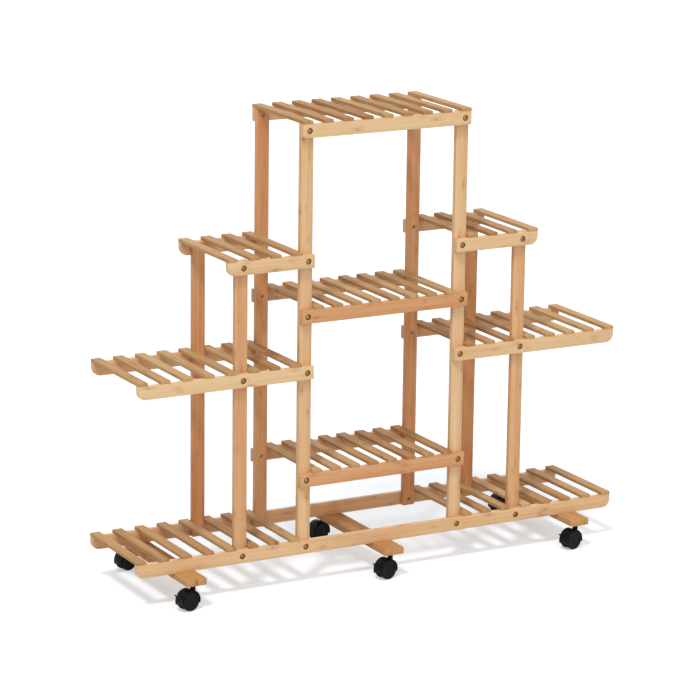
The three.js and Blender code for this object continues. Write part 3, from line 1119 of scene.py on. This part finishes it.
@dataclass(frozen=True)
class CastorModel:
    """One castor, drawn with its swivel axis on X = Y = 0, trailing towards -X."""

    height: float = 47 * MM
    trail: float = 11 * MM
    heading: float = 13.0
    wheel_radius: float = 18 * MM
    wheel_sides_in_cad: int = 22
    wheel_width: float = 5.7 * MM
    wheel_inside: float = 5.3 * MM
    half_body: float = 5 * MM
    hood_inner: float = 19 * MM
    hood_outer: float = 20.5 * MM
    hood_half: float = 11.2 * MM
    lead: float = -15.0
    tail: float = 195.0
    brake_tail: float = 148.5
    axle_bore: float = 2.75 * MM
    pin_bore: float = 3.3 * MM
    boss_radius: float = 7 * MM
    lever_half: float = 10 * MM
    arm_half: float = 3.1 * MM
    pivot_radius: float = 13 * MM
    pivot_angle: float = 150.0
    shoe_inner: float = 19.6 * MM
    shoe_outer: float = 21.2 * MM

    @property
    def axle_z(self) -> float:
        """The axle's height over the floor."""
        return self.wheel_radius * math.cos(math.pi / self.wheel_sides_in_cad)

    @property
    def axle(self) -> Place:
        """The middle of the axle."""
        return (-self.trail, 0.0, self.axle_z)

    @property
    def pivot(self) -> Place:
        """The middle of the brake lever's pivot."""
        angle = math.radians(self.pivot_angle)
        return (
            -self.trail + self.pivot_radius * math.cos(angle),
            0.0,
            self.axle_z + self.pivot_radius * math.sin(angle),
        )

    def cross_rod(self, name: str, radius: float, centre: Place, half: float) -> Piece:
        """Adds a rod along Y, centred on a point."""
        return rod(name, radius, (centre[0], -half, centre[2]), 1, 2 * half, 40)

    def stem(self) -> Piece:
        """Shapes the stem: thread in the board, collar under it, pin in the socket."""
        ease = 0.4 * MM
        profile = [
            (-23 * MM, 2.6 * MM),
            (-23 * MM + ease, 3 * MM),
            (-2 * MM, 3 * MM),
            (-2 * MM, 6 * MM - ease),
            (-2 * MM + ease, 6 * MM),
            (-ease, 6 * MM),
            (0, 6 * MM - ease),
            (0, 4 * MM),
            (8.4 * MM, 4 * MM),
            (9 * MM, 3.4 * MM),
        ]
        piece = turned("stem_model", (0, 0, self.height), 2, profile, 32)
        return shade(piece)

    def wheel(self) -> Piece:
        """Shapes the wheel on the +Y side: crowned tread, stepped and dished outer face."""
        r, w = self.axle_z, self.wheel_width
        profile = [
            (2.9 * MM, self.axle_bore),
            (0, self.axle_bore),
            (0, r - 0.5 * MM),
            (0.5 * MM, r),
            (w - 1.6 * MM, r),
            (w - 0.8 * MM, r - 0.25 * MM),
            (w - 0.2 * MM, r - 0.9 * MM),
            (w, r - 1.8 * MM),
            (w, r - 4.2 * MM),
            (w - 0.3 * MM, r - 4.8 * MM),
            (w - 1.0 * MM, r - 5.2 * MM),
            (w - 1.2 * MM, r - 5.8 * MM),
            (w - 1.0 * MM, 6.2 * MM),
            (w - 0.4 * MM, 5.6 * MM),
            (w - 0.3 * MM, 4.8 * MM),
            (w - 0.2 * MM, 0.8 * MM),
        ]
        centre = (-self.trail, self.wheel_inside, self.axle_z)
        piece = turned("wheel_model", centre, 1, profile, 72)
        return shade(piece)

    def hood(self, braked: bool) -> Piece:
        """Shapes the hooded body.

        Args:
            braked: Whether its tail is open for a brake lever.

        Returns:
            The hood with its socket, axle boss and bores.
        """
        cx, _, cz = self.axle
        piece = self.cross_rod("hood_model", self.hood_outer, self.axle, self.hood_half)
        with editing(piece):
            bevel_edges(
                piece,
                lambda e: all(abs(abs(v.co.y) - self.hood_half) < SAME_PLACE for v in e.verts)
                and abs(e.verts[0].co.y - e.verts[1].co.y) < SAME_PLACE,
                1.0 * MM,
            )
            bpy.ops.mesh.select_all(action="SELECT")
            bpy.ops.mesh.bisect(
                plane_co=(cx, 0, cz + self.hood_outer * math.sin(math.radians(self.lead))),
                plane_no=(0, 0, 1),
                use_fill=True,
                clear_inner=True,
            )
        wells = []
        for side in (-1, 1):
            low = self.half_body if side > 0 else -self.half_body - 10 * MM
            wells.append(rod("well", self.hood_inner, (cx, low, cz), 1, 10 * MM, 72))
        combine(piece, wells)
        boss = self.cross_rod("boss", self.boss_radius, self.axle, self.half_body + 0.05 * MM)
        low, high = cz + 10 * MM, self.height - 2.3 * MM
        socket = rod("socket", self.half_body - 0.02 * MM, (0, 0, low), 2, high - low, 40)
        combine(piece, [boss, socket], "UNION")
        cutters = [
            rod("pin_bore", self.pin_bore, (0, 0, cz + 5.88 * MM), 2, 30 * MM, 32),
            self.cross_rod("axle_bore", self.axle_bore, self.axle, 8 * MM),
        ]
        if braked:
            tail = self.brake_tail
            cutters += [
                ring_sector("open", self.axle, (15.7 * MM, 25 * MM), (tail, 205), 13 * MM),
                ring_sector("throat", self.axle, (9 * MM, 26 * MM), (tail - 0.5, 207), 3.5 * MM),
                self.cross_rod("hub_room", 4 * MM, self.pivot, 3.4 * MM),
                self.cross_rod("pivot_bore", 1.45 * MM, self.pivot, 8 * MM),
            ]
        combine(piece, cutters)
        return shade(piece)

    def brake_lever(self) -> Piece:
        """Shapes the brake lever: tab, shoe over both treads, arm, hub and pin."""
        first, inner, outer = self.pivot_angle, self.shoe_inner, self.shoe_outer
        middle = (inner + outer) / 2
        shoe = ("lever_model", self.axle, (inner, outer), (first, self.tail), self.lever_half)
        piece = ring_sector(*shoe)
        tab = ("tab", self.axle, (middle, outer + 5.5 * MM), (first, first + 6), 9 * MM, 4)
        arm = ("arm", self.axle, (11.5 * MM, middle), (first + 4, first + 20), self.arm_half, 8)
        parts = [
            ring_sector(*tab),
            ring_sector(*arm),
            self.cross_rod("hub", 3 * MM, self.pivot, self.arm_half - 1e-5),
            self.cross_rod("pin", 1.2 * MM, self.pivot, self.half_body),
        ]
        combine(piece, parts, "UNION")
        return shade(piece)


@dataclass(frozen=True)
class Castors:
    """The six castors, under the boards at board_xs and y to the front and rear of the middle."""

    finishes: Finishes
    board_xs: dict[str, float]
    y: float

    def build(self) -> None:
        """Models each part once and puts copies on every castor."""
        model = CastorModel()
        stem, wheel, lever = model.stem(), model.wheel(), model.brake_lever()
        hoods = {braked: model.hood(braked) for braked in (True, False)}
        f = self.finishes
        flip = Matrix.Translation(Vector(model.axle)) @ Matrix.Rotation(math.pi, 4, "X")
        flip = flip @ Matrix.Translation(-Vector(model.axle))
        for word, x in self.board_xs.items():
            for depth, side in (("front", -1), ("rear", 1)):
                name = f"castor_{depth}_{word}"
                place = Matrix.Translation((x, side * self.y, 0))
                swivel = f"{name}_swivel"
                braked = side < 0
                piece = copy_to(stem, f"{name}_stem_turned", place)
                place = place @ Matrix.Rotation(math.radians(model.heading), 4, "Z")
                finish_piece(piece, "frame", "steel", f.steel, f"{name}_stem")
                piece = copy_to(hoods[braked], f"{name}_hood_moulding", place)
                finish_piece(piece, swivel, "castor_plastic", f.hood, f"{name}_hood")
                for end, turn in (("front", flip), ("rear", Matrix.Identity(4))):
                    node = f"{name}_wheel_{end}"
                    piece = copy_to(wheel, f"{node}_moulding", place @ turn)
                    finish_piece(piece, node, "wheel_plastic", f.wheel, node)
                if braked:
                    node = f"{name}_brake_lever"
                    piece = copy_to(lever, f"{node}_moulding", place)
                    finish_piece(piece, node, "brake_plastic", f.lever, node)
        for piece in (stem, wheel, lever, *hoods.values()):
            remove(piece)


# ------------------------------------------------------------------ the studio


@dataclass(frozen=True)
class StudioCamera:
    """The camera at the photograph's angle."""

    place: Place = (-2.7749, -4.9716, 1.8364)
    azimuth: float = -29.01
    elevation: float = 14.16
    roll: float = 0.76
    focal_pixels: float = 3189.25
    frame_pixels: float = 700.0

    def build(self) -> None:
        """Adds the camera and makes it the scene's own."""
        azimuth, elevation, roll = (
            math.radians(angle) for angle in (self.azimuth, self.elevation, self.roll)
        )
        turn = Matrix.Rotation(azimuth, 4, "Z") @ Matrix.Rotation(math.pi / 2 - elevation, 4, "X")
        data = bpy.data.cameras.new("studio_camera")
        data.sensor_width = 36.0
        data.lens = self.focal_pixels * data.sensor_width / self.frame_pixels
        data.clip_end = 60.0
        camera = bpy.data.objects.new("studio_camera", data)
        camera.matrix_world = Matrix.Translation(self.place) @ turn @ Matrix.Rotation(roll, 4, "Z")
        bpy.context.collection.objects.link(camera)
        bpy.context.scene.camera = camera


@dataclass(frozen=True)
class SoftLamp:
    """A lamp far off, seen from the stand under an angle as a softbox is."""

    name: str
    side: Place
    strength: float
    spread: float

    def build(self) -> None:
        """Adds the lamp."""
        data = bpy.data.lights.new(self.name, "SUN")
        data.angle = math.radians(self.spread)
        data.energy = self.strength
        lamp = bpy.data.objects.new(self.name, data)
        lamp.location = 4 * Vector(self.side)
        lamp.rotation_euler = Vector(self.side).to_track_quat("Z", "Y").to_euler()
        bpy.context.collection.objects.link(lamp)


class Studio:
    """Pale floor, white surround and soft light."""

    lamps = (
        SoftLamp("key_lamp", (-0.385, -0.346, 0.856), 1.5, 8.0),
        SoftLamp("front_softbox", (-0.15, -0.85, 0.5), 1.1, 70.0),
        SoftLamp("back_softbox", (0.4, 0.8, 0.5), 0.8, 60.0),
    )
    floor_colour = (0.695, 0.745, 0.79, 1)
    floor_lift = 0.4
    surround = 0.35

    def build(self) -> None:
        """Adds the floor, the world, the lamps and the camera."""
        deselect()
        bpy.ops.mesh.primitive_plane_add(size=40, location=(0, 0, 0))
        floor = named("studio_floor")
        floor.data.materials.append(self.floor_finish())
        self.world()
        for lamp in self.lamps:
            lamp.build()
        StudioCamera().build()
        bpy.context.scene.view_settings.view_transform = "Standard"

    def floor_finish(self) -> Material:
        """Makes a white floor that keeps the stand's shadow."""
        material = bpy.data.materials.new("studio_floor")
        material.use_nodes = True
        bench = NodeBench(material.node_tree)
        nodes = material.node_tree.nodes
        skin = nodes["Principled BSDF"]
        plain = {"Base Color": self.floor_colour, "Roughness": 0.9, "Specular IOR Level": 0.1}
        bench.fill(skin, plain)
        lift, dark = (
            bench.fill(bench.add("ShaderNodeEmission"), {"Strength": strength}).outputs[0]
            for strength in (self.floor_lift, 0.0)
        )
        glow = bench.result("ShaderNodeMixShader", bench.seen(), dark, lift)
        total = bench.result("ShaderNodeAddShader", skin.outputs[0], glow)
        bench.feed(nodes["Material Output"].inputs["Surface"], total)
        return material

    def world(self) -> None:
        """Makes a white surround that lights the stand more gently than it shows."""
        world = bpy.data.worlds.new("studio_world")
        bpy.context.scene.world = world
        world.use_nodes = True
        bench = NodeBench(world.node_tree)
        lit = bench.maths("MULTIPLY_ADD", bench.seen(), 1 - self.surround, self.surround)
        white = {"Color": (1, 1, 1, 1), "Strength": lit}
        bench.fill(world.node_tree.nodes["Background"], white)


# ------------------------------------------------------------------ the stand


class PlantStand:
    """The whole stand."""

    board_xs = {"left": -402.5 * MM, "middle": 0.0, "right": 402.5 * MM}

    def __init__(self) -> None:
        """Makes the finishes."""
        self.finishes = Finishes()

    def build(self) -> None:
        """Builds every sub-assembly."""
        self.build_posts()
        self.build_decks()
        self.build_boards()
        Castors(self.finishes, self.board_xs, CastorBoard.castor_y).build()
        self.dress_axles()

    def build_posts(self) -> None:
        """Builds the eight posts."""
        for post in all_posts():
            piece = post.build()
            piece.name = f"{post.name}_lath"
            finish_piece(piece, "frame", "bamboo_post", self.finishes.post, post.name)

    def build_decks(self) -> None:
        """Builds the rails, slats and bolts of the eight decks."""
        slat, bolt, washer = slat_model(), Fastener().bolt(), Fastener().washer()
        for deck in all_decks():
            for side in (-1, 1):
                rail = deck.rail(side)
                finish_piece(rail, "frame", "bamboo_deck", self.finishes.rail, deck.name)
            slats = deck.slat_row(slat)
            finish_piece(slats, "frame", "bamboo_deck", self.finishes.slat, deck.name)
            finish_piece(deck.in_holes(bolt, "bolts"), "frame", "steel", self.finishes.bolt)
            # The dark washers paint the shade in the ring round the bolt heads.
            finish_piece(deck.in_holes(washer, "washers"), "frame", "steel", self.finishes.washer)
        for model in (slat, bolt, washer):
            remove(model)

    def build_boards(self) -> None:
        """Builds the cross boards and their screws."""
        screw = Fastener().screw()
        for word, x in self.board_xs.items():
            board = CastorBoard(f"castor_board_{word}", x)
            piece = board.build()
            piece.name = f"{board.name}_lath"
            finish_piece(piece, "frame", "bamboo_board", self.finishes.board, board.name)
            finish_piece(board.screws(screw), "frame", "steel", self.finishes.steel)
        remove(screw)

    def dress_axles(self) -> None:
        """Gives the axles, which stay as they are, their steel."""
        for name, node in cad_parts.items():
            if name.endswith("_axle"):
                node.data.materials.clear()
                node.data.materials.append(self.finishes.steel)


def main() -> None:
    """Builds the stand and the studio around it."""
    logging.basicConfig(level=logging.INFO, format="%(message)s")
    PlantStand().build()
    Studio().build()


if __name__ == "__main__":
    main()
